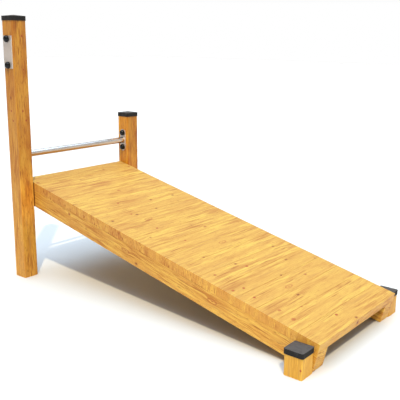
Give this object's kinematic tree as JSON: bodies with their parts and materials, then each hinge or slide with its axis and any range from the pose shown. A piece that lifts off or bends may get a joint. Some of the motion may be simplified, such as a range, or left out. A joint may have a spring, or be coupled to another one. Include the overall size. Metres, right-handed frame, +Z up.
{
  "type": "outdoor sit-up bench",
  "caption": "Inclined timber sit-up bench for an outdoor exercise area: a plank deck on two stringers between a tall and a short post, with a steel foot bar across the high end.",
  "frame": {"origin": "middle of the bench's box, on the ground", "axes": "+X down the deck, from the high end with the foot bar to the low end; +Y from the tall post's side to the short post's side; +Z up"},
  "size_m": [2.211, 1.0852, 1.654],
  "materials": {
    "post_timber": "laminated pine with a warm orange-tan satin lacquer",
    "stringer_timber": "pine with a warm satin lacquer",
    "deck_timber": "pale gold pine with small knots, satin lacquer",
    "cap_plastic": "black moulded plastic, soft sheen",
    "cover_plastic": "black moulded plastic, glossy",
    "packer_plastic": "black sheet plastic",
    "bar_steel": "polished stainless tube",
    "bracket_steel": "flat satin steel",
    "fastener_steel": "zinc-plated steel"
  },
  "bodies": {
    "root": {"far_flange": "bracket_steel", "far_flange_lower_bolt_cover": "cover_plastic", "far_flange_lower_coach_screw": "fastener_steel", "far_flange_lower_cover_base": "cover_plastic", "far_flange_upper_bolt_cover": "cover_plastic", "far_flange_upper_coach_screw": "fastener_steel", "far_flange_upper_cover_base": "cover_plastic", "far_low_post": "post_timber", "far_low_post_cap": "cap_plastic", "far_low_post_lower_joint_screw": "fastener_steel", "far_low_post_upper_joint_screw": "fastener_steel", "far_packer": "packer_plastic", "far_stringer": "stringer_timber", "foot_bar": "bar_steel", "mounting_plate": "bracket_steel", "near_flange": "bracket_steel", "near_flange_lower_bolt_cover": "cover_plastic", "near_flange_lower_coach_screw": "fastener_steel", "near_flange_lower_cover_base": "cover_plastic", "near_flange_upper_bolt_cover": "cover_plastic", "near_flange_upper_coach_screw": "fastener_steel", "near_flange_upper_cover_base": "cover_plastic", "near_low_post": "post_timber", "near_low_post_cap": "cap_plastic", "near_low_post_lower_joint_screw": "fastener_steel", "near_low_post_upper_joint_screw": "fastener_steel", "near_packer": "packer_plastic", "near_stringer": "stringer_timber", "plank_01": "deck_timber", "plank_02": "deck_timber", "plank_03": "deck_timber", "plank_04": "deck_timber", "plank_05": "deck_timber", "plank_06": "deck_timber", "plank_07": "deck_timber", "plank_08": "deck_timber", "plank_09": "deck_timber", "plank_10": "deck_timber", "plank_11": "deck_timber", "plank_12": "deck_timber", "plank_13": "deck_timber", "plank_14": "deck_timber", "plank_15": "deck_timber", "plank_16": "deck_timber", "plank_17": "deck_timber", "plank_18": "deck_timber", "plate_lower_bolt_cover": "cover_plastic", "plate_lower_coach_screw": "fastener_steel", "plate_lower_cover_base": "cover_plastic", "plate_upper_bolt_cover": "cover_plastic", "plate_upper_coach_screw": "fastener_steel", "plate_upper_cover_base": "cover_plastic", "short_post": "post_timber", "short_post_cap": "cap_plastic", "short_post_lower_joint_screw": "fastener_steel", "short_post_upper_joint_screw": "fastener_steel", "tall_post": "post_timber", "tall_post_cap": "cap_plastic", "tall_post_lower_joint_screw": "fastener_steel", "tall_post_upper_joint_screw": "fastener_steel"}
  },
  "joints": []
}
